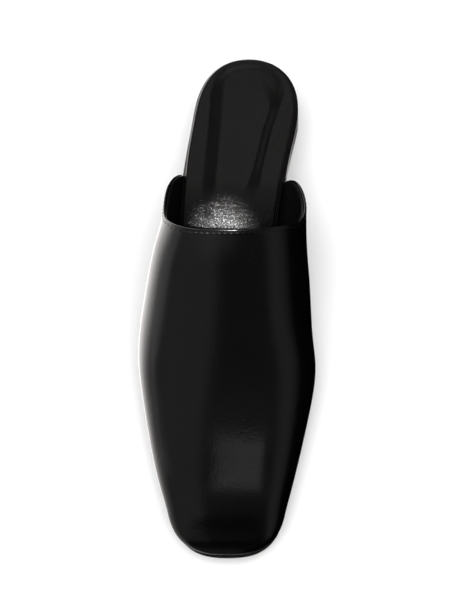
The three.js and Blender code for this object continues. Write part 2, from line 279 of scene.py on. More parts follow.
def nearest(points, line):
    """Distance from each point to a line of points, and how far along the line that is."""
    flat = points.reshape(-1, 3)
    run = np.concatenate([[0], np.cumsum(np.linalg.norm(np.diff(line, axis=0), axis=1))])
    distance = np.empty(len(flat))
    along = np.empty(len(flat))
    batch = 2000
    for i in range(0, len(flat), batch):
        gaps = np.linalg.norm(flat[i:i + batch, None] - line[None], axis=2)
        best = gaps.argmin(axis=1)
        distance[i:i + batch] = gaps[np.arange(len(best)), best]
        along[i:i + batch] = run[best]
    return distance.reshape(points.shape[:-1]), along.reshape(points.shape[:-1])


def grid_normals(points):
    """Unit normals of a grid of points, pointing to the left of its rows."""
    down = np.gradient(points, axis=0)
    across = np.gradient(points, axis=1)
    normals = np.cross(across, down)
    return normals / np.maximum(np.linalg.norm(normals, axis=-1, keepdims=True), 1e-9)


# ---------------------------------------------------------------- meshes


def piece_of(name, points, faces, material, attributes=None):
    """A smooth mesh object in metres, riding on the shoe."""
    mesh = bpy.data.meshes.new(name)
    mesh.from_pydata((np.asarray(points) * MM).tolist(), [], faces)
    mesh.update()
    mesh.shade_smooth()
    for key, values in (attributes or {}).items():
        layer = mesh.attributes.new(key, "FLOAT", "POINT")
        layer.data.foreach_set("value", np.asarray(values, np.float32).ravel())
    mesh.materials.append(material)
    piece = bpy.data.objects.new(name, mesh)
    bpy.context.scene.collection.objects.link(piece)
    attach(piece, "root")
    return piece


def grid_faces(first, rows, columns, flip=False):
    """Quads of a grid of rows by columns whose points start at number first."""
    i, j = np.meshgrid(np.arange(rows - 1), np.arange(columns - 1), indexing="ij")
    a = first + i * columns + j
    corners = [a, a + columns, a + columns + 1, a + 1]
    if flip:
        corners.reverse()
    return np.stack(corners, axis=-1).reshape(-1, 4).tolist()


def strip(line, other):
    """Quads between two equally long lines of point numbers."""
    return [[line[k], line[k + 1], other[k + 1], other[k]] for k in range(len(line) - 1)]


def rim_of(first, rows, columns):
    """Point numbers around the border of a grid, closed."""
    top = [first + j for j in range(columns)]
    right = [first + i * columns + columns - 1 for i in range(1, rows)]
    bottom = [first + (rows - 1) * columns + j for j in range(columns - 2, -1, -1)]
    left = [first + i * columns for i in range(rows - 2, -1, -1)]
    return top + right + bottom + left


def slab(name, top, bottom, material):
    """A closed piece between an upper and a lower grid of points of one size."""
    rows, columns = top.shape[:2]
    second = rows * columns
    faces = grid_faces(0, rows, columns) + grid_faces(second, rows, columns, flip=True)
    faces += strip(rim_of(0, rows, columns), rim_of(second, rows, columns))
    points = np.concatenate([top.reshape(-1, 3), bottom.reshape(-1, 3)])
    return piece_of(name, points, faces, material)


# ---------------------------------------------------------------- the vamp

TOPLINE_COLUMNS = 200
TOE_ROWS = 165
# Distances of the first rows of points from the topline, in millimetres.
EDGE_STEPS = (0.0, 0.04, 0.1, 0.18, 0.28, 0.4, 0.54, 0.7, 0.9, 1.15,
              1.4, 1.65, 1.9, 2.15, 2.4, 2.7, 3.1, 3.6, 4.2, 5.0)
ROLLED_ROWS = len(EDGE_STEPS) + 4      # rows that may lie on the rolled edge
CHANNEL_ROWS = len(EDGE_STEPS) + 6     # rows that may lie in the channel of the stitches
INSET_ROWS = 40      # rows whose distance from the topline is kept for the material
FAR = 99.0           # the distance given to every other point
EDGE_FLAT = 0.03     # how much less than half the thickness an edge is rounded by
TOE_CROWDING = 1.8   # above 1 the rows draw together towards the toe
EVEN_FROM = 0.55     # share of the way to the toe from which the columns are evenly spread
STITCH_INSET = 1.9
STITCH_PITCH = 2.9
STITCH_SUNK = 0.26   # how deep the ends of a stitch lie
STITCH_RISE = 0.36   # how far its middle rises from there
CHANNEL_DEPTH = 0.07
CHANNEL_WIDTH = 0.5
TIP_SLIT = 0.002     # the mesh stops this far before the very tip, and a fan closes it


class Topline:
    """The edge of the opening as a smooth line, with its way across the leather."""

    def __init__(self):
        turn = TOPLINE["turn"] * ROUND_SCALE
        station = TOPLINE["station"]
        run = np.concatenate([[0], np.cumsum(np.hypot(np.diff(turn), np.diff(station)))])
        self.turn = spline(run, turn / ROUND_SCALE)
        self.station = spline(run, station)
        fine = np.linspace(0, run[-1], 1600)
        self.line = vamp_point(self.station(fine), self.turn(fine), 0)
        self.reach = np.concatenate([[0], np.cumsum(np.linalg.norm(np.diff(self.line, axis=0), axis=1))])
        inside = vamp_point(self.station(fine) + 1, self.turn(fine), 0)
        gained = nearest(inside, self.line)[0]
        smooth = np.convolve(np.pad(1 / gained, 40, mode="edge"), np.ones(81) / 81, mode="valid")
        self.stretch = lambda u: np.interp(u, fine, smooth)
        self.at_length = lambda length: np.interp(length, self.reach, fine)

    def inside(self, u, inset, depth):
        """Points inset from the edge by that many millimetres of leather."""
        return vamp_point(self.station(u) + inset * self.stretch(u), self.turn(u), depth)


topline = Topline()


def vamp_stations(first_inset, columns, rows, tip):
    """Station and turn of every point of a face of the vamp, from the topline to the toe."""
    u = topline.at_length(np.linspace(0, topline.reach[-1], columns))
    insets = first_inset + np.array(EDGE_STEPS)[:, None]
    station = topline.station(u)[None] + insets * topline.stretch(u)[None]
    turn = np.repeat(topline.turn(u)[None], len(EDGE_STEPS), axis=0)
    along = np.linspace(0, 1, rows + 1)[1:, None]
    rest = station[-1:] + (tip - station[-1:]) * (1 - (1 - along) ** TOE_CROWDING)
    even = np.linspace(-1, 1, columns)[None]
    spread = smoothstep(along, 0, EVEN_FROM)
    rest_turn = turn[-1:] * (1 - spread) + even * spread
    return np.concatenate([station, rest]), np.concatenate([turn, rest_turn])


def rolled(distance, radius):
    """How far a face drops near an edge to round its edge."""
    inwards = np.clip(radius - distance, 0, radius)
    return radius - np.sqrt(radius * radius - inwards * inwards)


def shell_faces(rows, columns):
    """Faces of two grids joined around their borders, and by a middle point of each at the toe."""
    size = rows * columns
    last, end = size - columns, size - 1
    front_middle, back_middle = 2 * size, 2 * size + 1
    faces = grid_faces(0, rows, columns) + grid_faces(size, rows, columns, flip=True)
    faces += strip(list(range(columns)), list(range(size, size + columns)))
    lefts = [i * columns for i in range(rows)]
    rights = [i * columns + columns - 1 for i in range(rows)]
    faces += strip([size + k for k in lefts], lefts)
    faces += strip(rights, [size + k for k in rights])
    for j in range(columns - 1):
        faces.append([front_middle, last + j + 1, last + j])
        faces.append([back_middle, size + last + j, size + last + j + 1])
    faces.append([last, size + last, back_middle, front_middle])
    faces.append([front_middle, back_middle, size + end, end])
    return faces


def vamp_shell(name, outside, inside, first_inset, columns, rows, material, relief=None):
    """A closed layer of the vamp between two depths, with a rolled edge along the topline."""
    thick = inside - outside
    grids = []
    for depth, sign in ((outside, 1), (inside, -1)):
        station, turn = vamp_stations(first_inset, columns, rows, VAMP_TIP - depth - TIP_SLIT)
        edge = topline.inside(topline.at_length(np.linspace(0, topline.reach[-1], 900)), first_inset, 0)
        flat = vamp_point(station[:ROLLED_ROWS], turn[:ROLLED_ROWS], 0)
        distance = np.full(station.shape, FAR)
        distance[:ROLLED_ROWS] = nearest(flat, edge)[0]
        sunk = depth + sign * rolled(distance, thick / 2 - EDGE_FLAT)
        grids.append(vamp_point(np.minimum(station, VAMP_TIP - sunk - TIP_SLIT), turn, sunk))
    if relief is not None:
        grids[0] = relief(grids[0])
    middles = [(grid[-1, 0] + grid[-1, -1]) / 2 for grid in grids]
    points = np.concatenate([grid.reshape(-1, 3) for grid in grids] + [middles])
    distance, along = nearest(grids[0][:INSET_ROWS], topline.line)
    inset = np.full(len(points), FAR)
    inset[:distance.size] = distance.ravel()
    reach = np.zeros(len(points))
    reach[:along.size] = along.ravel()
    faces = shell_faces(*grids[0].shape[:2])
    return piece_of(name, points, faces, material, {"inset": inset, "along": reach})


# Soft forms in the vamp's leather: where their middle is, which way they run, and their size.
# across and length are half-widths, turned is the angle from straight along the shoe.
FORMS = table("station x length across turned height", """
    96   -9  14 9   70   0.10
    104  14  16 8   60  -0.10
    128  -16 22 7   12   0.10
    131  22  20 7  -14  -0.08
    150  4   18 12  80  -0.10
    166  -22 16 8   30   0.07
    172  20  18 7  -24  -0.07
    188  -2  16 13  85   0.08
    206  10  12 9   60  -0.05
    212  -12 12 8   40   0.05
""")


def leather_relief(points):
    """Soft troughs and ridges, and the channel that the stitches pull into the leather."""
    normals = grid_normals(points)
    x = points[..., 0]
    s = LENGTH / 2 - points[..., 1]
    lift = np.zeros(x.shape)
    for k in range(len(FORMS["station"])):
        form = {name: values[k] for name, values in FORMS.items()}
        angle = math.radians(form["turned"])
        dx, ds = x - form["x"], s - form["station"]
        length = ds * math.cos(angle) + dx * math.sin(angle)
        across = dx * math.cos(angle) - ds * math.sin(angle)
        lift += form["height"] * np.exp(-(length / form["length"]) ** 2 - (across / form["across"]) ** 2)
    distance = nearest(points[:CHANNEL_ROWS], topline.line)[0]
    channel = -CHANNEL_DEPTH * np.exp(-((distance - STITCH_INSET) / CHANNEL_WIDTH) ** 2)
    lift[:CHANNEL_ROWS] += channel
    lift[:CHANNEL_ROWS] *= smoothstep(distance, 0.2, 1.0)
    return points + normals * lift[..., None]


def stitches(name, depth, outwards, inset, radius, material):
    """A row of separate stitches along the topline, each an arched thread."""
    rings, sides = 7, 8
    total = topline.reach[-1]
    count = int((total - 3) / STITCH_PITCH)
    start = (total - count * STITCH_PITCH) / 2
    points, faces = [], []
    for k in range(count):
        length = start + (k + np.linspace(0.12, 0.88, rings)) * STITCH_PITCH
        u = topline.at_length(length)
        base = topline.inside(u, inset, depth)
        deeper = topline.inside(u, inset, depth - 0.5)
        normal = deeper - base
        normal /= np.linalg.norm(normal, axis=1, keepdims=True)
        normal = normal * outwards
        ahead = np.gradient(base, axis=0)
        ahead /= np.linalg.norm(ahead, axis=1, keepdims=True)
        beside = np.cross(ahead, normal)
        swell = np.sin(np.linspace(0, math.pi, rings))
        lift = -STITCH_SUNK + STITCH_RISE * swell ** 0.6
        width = radius * (0.55 + 0.45 * swell ** 0.5)
        centre = base + normal * lift[:, None]
        for j in range(sides):
            a = 2 * math.pi * j / sides
            spoke = math.cos(a) * beside + math.sin(a) * normal
            points.append(centre + spoke * width[:, None])
        first = k * rings * sides
        for i in range(rings - 1):
            for j in range(sides):
                n = (j + 1) % sides
                faces.append([first + j * rings + i, first + j * rings + i + 1,
                              first + n * rings + i + 1, first + n * rings + i])
        faces.append([first + j * rings for j in range(sides)])
        faces.append([first + j * rings + rings - 1 for j in reversed(range(sides))])
    return piece_of(name, np.concatenate(points), faces, material)


# ---------------------------------------------------------------- plates: sole, insole and sock


# How far the edges of each plate are rounded, above and below, in millimetres.
SOLE_ROLL = (0.7, 0.9)
INSOLE_ROLL = (0.8, 0.5)
SOCK_ROLL = (1.1, 0.5)


def plate_stations(back, tip, heel_count, middle_count, toe_count):
    """Stations that turn evenly around the rounded heel and toe."""
    toe_cap = TOE_CAP - (LENGTH - tip)
    heel_angle = np.linspace(0.02, math.pi / 2, heel_count)
    heel = back + HEEL_CAP * (1 - np.cos(heel_angle) ** (2 / HEEL_CAP_POWER))
    toe_angle = np.linspace(math.pi / 2, 0.02, toe_count)
    toe = tip - toe_cap * (1 - np.cos(toe_angle) ** (2 / TOE_CAP_POWER))
    middle = np.linspace(heel[-1], toe[0], middle_count + 2)[1:-1]
    return np.concatenate([heel, middle, toe])


def plate_edges(s, back, tip, grow):
    toe_cap = TOE_CAP - (LENGTH - tip)
    wide = outline["half"](s) + grow(s)
    half = wide * rounding(s - back, HEEL_CAP, HEEL_CAP_POWER) * rounding(tip - s, toe_cap, TOE_CAP_POWER)
    return outline["middle"](s), half


def plate_grid(back, tip, grow, counts, columns):
    """x and station of a grid over a plate, and each point's distance from the outline."""
    s = plate_stations(back, tip, *counts)
    middle, half = plate_edges(s, back, tip, grow)
    share = np.sin(np.linspace(-math.pi / 2, math.pi / 2, columns))
    x = middle[:, None] + half[:, None] * share[None]
    station = np.repeat(s[:, None], columns, axis=1)
    border = np.concatenate([
        np.stack([middle - half, s, s * 0], axis=1), np.stack([middle + half, s, s * 0], axis=1)[::-1]])
    dense = np.concatenate([np.linspace(border[k], border[(k + 1) % len(border)], 7)[:-1]
                            for k in range(len(border))])
    points = np.stack([x, station, x * 0], axis=-1)
    distance = nearest(points, dense)[0]
    return x, station, distance


def build_outsole(material):
    x, s, distance = plate_grid(0, LENGTH, outline["margin"], (60, 190, 60), 64)
    top = sole_top(s) - rolled(distance, SOLE_ROLL[0])
    groove_inset, groove_width, groove_depth = 5.0, 0.5, 0.35
    groove = groove_depth * np.exp(-((distance - groove_inset) / groove_width) ** 2)
    groove = groove * smoothstep(s, BREAST + 6, BREAST + 14)
    bottom = underside(s) + rolled(distance, SOLE_ROLL[1]) + groove
    piece = slab("sole_leather", at(x, s, top), at(x, s, bottom), material)
    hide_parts("outsole")
    return piece


def build_insole(material):
    x, s, distance = plate_grid(INSOLE_BACK, INSOLE_TIP, lambda s: 0 * s, (50, 150, 50), 40)
    top = insole_top(s) + GAP - JOINT - rolled(distance, INSOLE_ROLL[0])
    bottom = sole_top(s) + JOINT + rolled(distance, INSOLE_ROLL[1])
    piece = slab("insole_wrapped", at(x, s, top), at(x, s, bottom), material)
    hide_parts("insole")
    return piece


# Where the sock turns up from its hollow to the strips along its sides, how gently it does on each
# side, and how deep the hollow is.
HOLLOW = splines(table("station outer outer_soft inner inner_soft depth", """
    0   2     4.0 24   9.0 0.4
    14  -3.8  4.0 25.0 9.0 1.0
    24  -4.8  3.9 25.6 4.0 1.35
    34  -5.6  3.8 22.6 2.9 1.45
    49  -7.0  3.8 18.6 2.8 1.45
    63  -8.4  4.0 15.0 3.8 1.4
    72  -9.2  4.0 13.0 6.0 1.3
    86  -10.4 3.8 11.5 7.5 1.1
    105 -11.5 6.0 10.0 9.0 0.5
    130 -13   6.0 10   7.0 0.3
    254 -10   6.0 10   7.0 0.1
"""))


def build_sock(material):
    def grow(s):
        return -SOCK_INSET * smoothstep(s, BREAST / 2, TREAD_BACK) - SOCK_INSET / 2

    back, tip = INSOLE_BACK + SOCK_INSET / 2, INSOLE_TIP - SOCK_INSET
    x, s, distance = plate_grid(back, tip, grow, (70, 220, 40), 130)
    depth = HOLLOW["depth"](s) * smoothstep(distance, 1.0, 6.0)
    sides = {name: curve(s) for name, curve in HOLLOW.items()}
    low = smoothstep(x, sides["outer"] - sides["outer_soft"], sides["outer"] + sides["outer_soft"])
    high = 1 - smoothstep(x, sides["inner"] - sides["inner_soft"], sides["inner"] + sides["inner_soft"])
    top = insole_top(s) + GAP + sock_thick(s) - depth * low * high - rolled(distance, SOCK_ROLL[0])
    bottom = insole_top(s) + GAP + rolled(distance, SOCK_ROLL[1])
    piece = slab("sock_padded", at(x, s, top), at(x, s, bottom), material)
    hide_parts("sock")
    return piece


# ---------------------------------------------------------------- the heel

BREAST_CORNER = 3.0
HEEL_WALL = 18.5     # height over which the heel's even rings are spread
HEEL_RINGS = 12
END_SHARES = (0.5, 0.9, 1)   # sizes of the rings that divide a flat end


def heel_loop(z, inset, share):
    """The heel's outline at a height, drawn inwards by inset and then to a share of its size."""
    def corner(s, side):
        reach = underside(s)
        down = 1 - z / reach
        middle, half = plate_edges(s, 0, LENGTH, outline["margin"])
        front = np.clip((s - (BREAST - BREAST_CORNER)) / BREAST_CORNER, 0, 1)
        half = half - BREAST_CORNER * (1 - np.sqrt(1 - front * front))
        half = half - np.minimum(HEEL_SIDE_TAPER * down, half / 2)
        lean = HEEL_BACK_TAPER + (-HEEL_BREAST_TAPER - HEEL_BACK_TAPER) * s / BREAST
        return np.stack([middle + side * half, s + lean * down], axis=-1)

    angle = np.linspace(0.01, math.pi / 2, 44)
    back = HEEL_CAP * (1 - np.cos(angle) ** (2 / HEEL_CAP_POWER))
    side = np.linspace(HEEL_CAP, BREAST - BREAST_CORNER, 24)[1:]
    turn = np.linspace(0, math.pi / 2, 12)[1:]
    front = BREAST - BREAST_CORNER + BREAST_CORNER * np.sin(turn)
    s = np.concatenate([back, side, front])
    left, right = corner(s, -1), corner(s, 1)
    across = np.linspace(left[-1], right[-1], 26)[1:-1]
    loop = np.concatenate([left, across, right[::-1]])
    if inset > 0:
        ahead = np.roll(loop, -1, axis=0) - np.roll(loop, 1, axis=0)
        ahead /= np.linalg.norm(ahead, axis=1, keepdims=True)
        loop = loop + inset * np.stack([ahead[:, 1], -ahead[:, 0]], axis=1)
    middle = loop.mean(axis=0)
    return middle + (loop - middle) * share


def ring_stack(name, rings, material):
    """A closed piece through rings of points, its ends closed over their middles."""
    rings = np.array(rings)
    count, size = rings.shape[:2]
    points = rings.reshape(-1, 3)
    faces = []
    for i in range(count - 1):
        for j in range(size):
            n = (j + 1) % size
            faces.append([i * size + j, i * size + n, (i + 1) * size + n, (i + 1) * size + j])
    ends = [rings[0].mean(axis=0), rings[-1].mean(axis=0)]
    for j in range(size):
        n = (j + 1) % size
        faces.append([count * size, n, j])
        faces.append([count * size + 1, (count - 1) * size + j, (count - 1) * size + n])
    return piece_of(name, np.concatenate([points, ends]), faces, material)


def heel_rings(levels):
    """Rings for levels of height, inset and share. A height is a number or a function of the station."""
    rings = []
    for height, inset, share in levels:
        loop = heel_loop(height(0.0) if callable(height) else height, inset, share)
        s = loop[:, 1]
        z = height(s) if callable(height) else np.full(len(s), float(height))
        rings.append(at(loop[:, 0], s, z))
    return rings


def build_heel(material):
    base = TOP_PIECE_THICK + JOINT
    bevel = 0.35

    def under_sole(gap):
        return lambda s: underside(s) - gap

    levels = [(base, bevel, share) for share in END_SHARES]
    levels += [(base + 0.1, bevel / 3, 1)]
    levels += [(base + bevel + HEEL_WALL * k / HEEL_RINGS, 0, 1) for k in range(HEEL_RINGS)]
    levels += [(under_sole(0.5), 0, 1), (under_sole(0.12), 0.12, 1)]
    levels += [(under_sole(JOINT), bevel, share) for share in reversed(END_SHARES)]
    piece = ring_stack("heel_lacquered", heel_rings(levels), material)
    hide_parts("heel_block")
    return piece


def build_top_piece(material):
    top = TOP_PIECE_THICK
    levels = [(0, 0.6, share) for share in END_SHARES]
    levels += [(0.15, 0.22, 1), (0.5, 0.06, 1), (1, 0.05, 1)]
    levels += [(top - 0.4, 0.05, 1), (top - 0.1, 0.14, 1)]
    levels += [(top, 0.4, share) for share in reversed(END_SHARES)]
    piece = ring_stack("top_piece_rubber", heel_rings(levels), material)
    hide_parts("top_piece")
    return piece


# ---------------------------------------------------------------- materials


class Shader:
    """A material's node tree, with short ways to add nodes to it."""

    def __init__(self, name):
        self.material = bpy.data.materials.new(name)
        self.material.use_nodes = True
        self.tree = self.material.node_tree
        self.surface = self.tree.nodes["Principled BSDF"]
        self.place = self.add("TexCoord").outputs["Object"]

    def add(self, kind, inputs=None, **settings):
        made = self.tree.nodes.new("ShaderNode" + kind)
        for key, value in settings.items():
            setattr(made, key, value)
        for key, value in (inputs or {}).items():
            if isinstance(value, bpy.types.NodeSocket):
                self.tree.links.new(value, made.inputs[key])
            else:
                made.inputs[key].default_value = value
        return made

    def math(self, operation, *values):
        return self.add("Math", dict(enumerate(values)), operation=operation).outputs[0]

    def noise(self, size_mm, detail=2.0, roughness=0.5, place=None):
        made = self.add("TexNoise", {
            "Vector": place or self.place, "Scale": 1 / (size_mm * MM),
            "Detail": detail, "Roughness": roughness})
        return made.outputs["Fac"]

    def cells(self, size_mm):
        made = self.add("TexVoronoi", {"Vector": self.place, "Scale": 1 / (size_mm * MM)})
        return made.outputs["Distance"]

    def span(self, value, low, high, to_low=0.0, to_high=1.0, soft=False):
        made = self.add("MapRange", {
            "Value": value, "From Min": low, "From Max": high, "To Min": to_low, "To Max": to_high})
        if soft:
            made.interpolation_type = "SMOOTHSTEP"
        return made.outputs["Result"]

    def attribute(self, name):
        return self.add("Attribute", attribute_name=name).outputs["Fac"]

    def bump(self, height, distance_mm, strength=1.0, below=None):
        inputs = {"Height": height, "Distance": distance_mm * MM, "Strength": strength}
        if below is not None:
            inputs["Normal"] = below
        return self.add("Bump", inputs).outputs["Normal"]

    def set(self, **values):
        for key, value in values.items():
            socket = self.surface.inputs[key.replace("_", " ")]
            if isinstance(value, bpy.types.NodeSocket):
                self.tree.links.new(value, socket)
            else:
                socket.default_value = value


def colour_mix(shader, amount, one, other):
    node = shader.add("Mix", data_type="RGBA")
    shader.tree.links.new(amount, node.inputs[0])
    node.inputs[6].default_value = (*one, 1)
    node.inputs[7].default_value = (*other, 1)
    return node.outputs[2]


# Faint marks rubbed into the gloss: from and to, in millimetres, and how wide and strong they are.
MARKS = table("x1 s1 x2 s2 width strength", """
    13.6 113 16.4 108 0.5 0.8
    5.0  119 10.5 116 0.4 0.4
    4.5  158 14.5 163 0.9 0.45
    10   192 16.5 190 0.4 0.4
    9    187 9.4  187 0.5 0.7
""")


def stroke_mask(shader, mark):
    """1 on a straight mark and 0 away from it, seen from above."""
    start = Vector((mark["x1"] * MM, (LENGTH / 2 - mark["s1"]) * MM, 0))
    end = Vector((mark["x2"] * MM, (LENGTH / 2 - mark["s2"]) * MM, 0))
    way = end - start
    flat = shader.add("VectorMath", {0: shader.place, 1: (1, 1, 0)}, operation="MULTIPLY").outputs[0]
    away = shader.add("VectorMath", {0: flat, 1: start}, operation="SUBTRACT").outputs[0]
    scaled = way / way.length_squared
    dot = shader.add("VectorMath", {0: away, 1: scaled}, operation="DOT_PRODUCT").outputs["Value"]
    share = shader.span(dot, 0, 1)
    reached = shader.add("VectorMath", {0: way, "Scale": share}, operation="SCALE").outputs[0]
    off = shader.add("VectorMath", {0: away, 1: reached}, operation="DISTANCE").outputs["Value"]
    return shader.span(off, mark["width"] * MM, mark["width"] * MM * 0.3, 0, mark["strength"], soft=True)


def gloss_leather():
    """Polished calf: near black, a fine tight grain, and a soft stitched-in edge."""
    shader = Shader("gloss_leather")
    cloud = shader.noise(16, 3, 0.55)
    grain = shader.noise(0.95, 2, 0.5)
    pores = shader.noise(0.16, 2, 0.6)
    waves = shader.noise(5.0, 2, 0.5)
    normal = shader.bump(waves, 0.10, 0.35)
    normal = shader.bump(grain, 0.10, 0.6, normal)
    normal = shader.bump(pores, 0.02, 0.25, normal)
    marks = None
    for k in range(len(MARKS["x1"])):
        mask = stroke_mask(shader, {name: values[k] for name, values in MARKS.items()})
        marks = mask if marks is None else shader.math("MAXIMUM", marks, mask)
    normal = shader.bump(shader.math("MULTIPLY", marks, -1.0), 0.08, 0.6, normal)
    inset = shader.attribute("inset")
    along = shader.attribute("along")
    beat = shader.math("COSINE", shader.math("MULTIPLY", along, 2 * math.pi / STITCH_PITCH))
    beside = shader.math("ABSOLUTE", shader.math("SUBTRACT", inset, STITCH_INSET))
    near = shader.span(beside, 1.3, 0.1, soft=True)
    pucker = shader.math("MULTIPLY", beat, near)
    normal = shader.bump(pucker, 0.08, 0.3, normal)
    rough = shader.span(cloud, 0.3, 0.7, 0.12, 0.17)
    rough = shader.math("ADD", rough, shader.math("MULTIPLY", marks, 0.25))
    shader.set(Normal=normal, Roughness=rough, Base_Color=colour_mix(
        shader, cloud, (0.0007, 0.0006, 0.0006), (0.0012, 0.0011, 0.0011)))
    shader.set(IOR=1.5)
    return shader.material


def lining_leather():
    shader = Shader("lining_leather")
    cloud = shader.noise(9, 3)
    pores = shader.cells(0.9)
    fine = shader.noise(0.3, 3, 0.6)
    normal = shader.bump(shader.span(pores, 0.0, 0.35), 0.06, 0.5)
    normal = shader.bump(fine, 0.03, 0.5, normal)
    shader.set(Normal=normal, Roughness=shader.span(cloud, 0.3, 0.7, 0.42, 0.55), IOR=1.36)
    shader.set(Base_Color=colour_mix(
        shader, cloud, (0.0014, 0.0013, 0.0012), (0.0024, 0.0022, 0.0021)))
    return shader.material


CREASED = (62, 82)   # stations between which the heel's calm grain grows to the waist's creases


def sock_leather():
    """Satin leather over a thin pad, with a soft pebbled grain."""
    shader = Shader("sock_leather")
    cloud = shader.noise(13, 3)
    lengthways = shader.add("SeparateXYZ", {0: shader.place}).outputs["Y"]
    bent = shader.span(lengthways, (LENGTH / 2 - CREASED[0]) * MM, (LENGTH / 2 - CREASED[1]) * MM, soft=True)
    grain = shader.math("MULTIPLY", shader.noise(0.75, 2, 0.5), shader.span(bent, 0, 1, 0.16, 1.0))
    fine = shader.noise(0.35, 3, 0.6)
    dents = shader.math("MULTIPLY", shader.noise(4.5, 2), shader.span(bent, 0, 1, 0.25, 1.0))
    normal = shader.bump(dents, 0.9, 0.8)
    normal = shader.bump(grain, 0.42, 1.0, normal)
    normal = shader.bump(fine, 0.03, 0.5, normal)
    shader.set(Normal=normal, Roughness=shader.span(cloud, 0.3, 0.7, 0.22, 0.27), IOR=1.5)
    shader.set(Base_Color=colour_mix(
        shader, cloud, (0.0024, 0.0022, 0.0021), (0.0038, 0.0035, 0.0034)))
    return shader.material


def board_leather():
    shader = Shader("board_leather")
    cloud = shader.noise(6, 3)
    fine = shader.noise(0.3, 3, 0.6)
    normal = shader.bump(fine, 0.04, 0.5)
    shader.set(Normal=normal, Roughness=shader.span(cloud, 0.3, 0.7, 0.35, 0.5), Base_Color=colour_mix(
        shader, cloud, (0.002, 0.0018, 0.0018), (0.004, 0.0036, 0.0034)))
    return shader.material


def sole_leather():
    """Inked and polished along the edge, buffed and matt under the tread."""
    shader = Shader("sole_leather")
    facing = shader.add("SeparateXYZ", {0: shader.add("NewGeometry").outputs["Normal"]}).outputs["Z"]
    tread = shader.span(facing, -0.6, -0.85, soft=True)
    stretched = shader.add("Mapping", {"Vector": shader.place, "Scale": (1.0, 0.25, 1.0)}).outputs[0]
    fibre = shader.noise(0.5, 4, 0.65, stretched)
    cloud = shader.noise(18, 3)
    normal = shader.bump(fibre, 0.08, 0.5)
    normal = shader.bump(shader.noise(0.25, 2), 0.03, 0.3, normal)
    rough_tread = shader.span(fibre, 0.3, 0.7, 0.55, 0.72)
    rough_edge = shader.span(cloud, 0.3, 0.7, 0.2, 0.3)
    rough = shader.add("Mix", {0: tread, 2: rough_edge, 3: rough_tread}).outputs[0]
    inked = colour_mix(shader, cloud, (0.002, 0.0018, 0.0017), (0.004, 0.0035, 0.0033))
    buffed = colour_mix(shader, fibre, (0.010, 0.0085, 0.0075), (0.021, 0.018, 0.016))
    colour = shader.add("Mix", {0: tread, 6: inked, 7: buffed}, data_type="RGBA").outputs[2]
    shader.set(Normal=normal, Roughness=rough, Base_Color=colour)
    return shader.material


def heel_lacquer():
    shader = Shader("heel_lacquer")
    cloud = shader.noise(10, 3)
    orange_peel = shader.noise(1.6, 2)
    normal = shader.bump(orange_peel, 0.05, 0.3)
    shader.set(Normal=normal, Roughness=shader.span(cloud, 0.3, 0.7, 0.07, 0.14), Base_Color=colour_mix(
        shader, cloud, (0.0012, 0.0012, 0.0012), (0.0022, 0.002, 0.002)))
    shader.set(Coat_Weight=0.4, Coat_Roughness=0.05)
    return shader.material


def tread_rubber():
    shader = Shader("tread_rubber")
    cloud = shader.noise(7, 3)
    pimples = shader.cells(1.1)
    facing = shader.add("SeparateXYZ", {0: shader.add("NewGeometry").outputs["Normal"]}).outputs["Z"]
    below = shader.span(facing, -0.7, -0.9)
    raised = shader.math("MULTIPLY", shader.span(pimples, 0.45, 0.2), below)
    normal = shader.bump(raised, 0.25, 0.8)
    normal = shader.bump(shader.noise(0.3, 3), 0.05, 0.5, normal)
    shader.set(Normal=normal, Roughness=shader.span(cloud, 0.3, 0.7, 0.55, 0.72), Base_Color=colour_mix(
        shader, cloud, (0.006, 0.006, 0.006), (0.012, 0.0115, 0.011)))
    return shader.material


def waxed_thread():
    shader = Shader("waxed_thread")
    twist = shader.noise(0.22, 2)
    shader.set(Normal=shader.bump(twist, 0.05, 0.6), Roughness=shader.span(twist, 0.3, 0.7, 0.3, 0.45),
               Base_Color=colour_mix(shader, twist, (0.002, 0.002, 0.002), (0.006, 0.0058, 0.0055)))
    return shader.material


def pale_floor():
    shader = Shader("pale_floor")
    cloud = shader.noise(400, 2)
    shader.set(Normal=shader.bump(shader.noise(2.0, 2), 0.05, 0.2),
               Roughness=shader.span(cloud, 0.3, 0.7, 0.8, 0.9),
               Base_Color=colour_mix(shader, cloud, (0.86, 0.86, 0.86), (0.88, 0.88, 0.88)))
    return shader.material


# ---------------------------------------------------------------- the pieces


def build_shoe():
    gloss, lining, thread = gloss_leather(), lining_leather(), waxed_thread()
    leather = vamp_shell("vamp_leather", 0.0, LEATHER, 0.0, TOPLINE_COLUMNS, TOE_ROWS, gloss,
                         leather_relief)
    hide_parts("upper")
    vamp_shell("vamp_lining", LINING_OUTSIDE, WALL, 0.7, 130, 90, lining)
    stitches("topline_stitches_outer", 0.0, 1, STITCH_INSET, 0.24, thread)
    stitches("topline_stitches_inner", WALL, -1, STITCH_INSET, 0.22, thread)
    build_sock(sock_leather())
    build_insole(board_leather())
    build_outsole(sole_leather())
    build_heel(heel_lacquer())
    build_top_piece(tread_rubber())


# ---------------------------------------------------------------- floor, light and camera

# What surrounds the shoe, as brightness by direction. The angle is measured from straight up, in degrees,
# and grows towards the inner side of the foot. sides is the brightness of the walls, and ceiling is how
# much of the ceiling shows between them.
WALLS = table("angle sides ceiling", """
    -180 0.80 0
    -125 0.80 0
    -105 0.58 0
    -92  0.34 0
    -82  0.22 0
    -72  0.26 0
    -62  0.29 0
    -20  0.29 0
    -16  0.00 1
    44   0.00 1
    55   0.25 0
    66   0.26 0
    76   0.21 0
    88   0.07 0
    95   0.00 0
    158  0.00 0
    170  0.10 0
    176  0.45 0
    180  0.65 0
""")
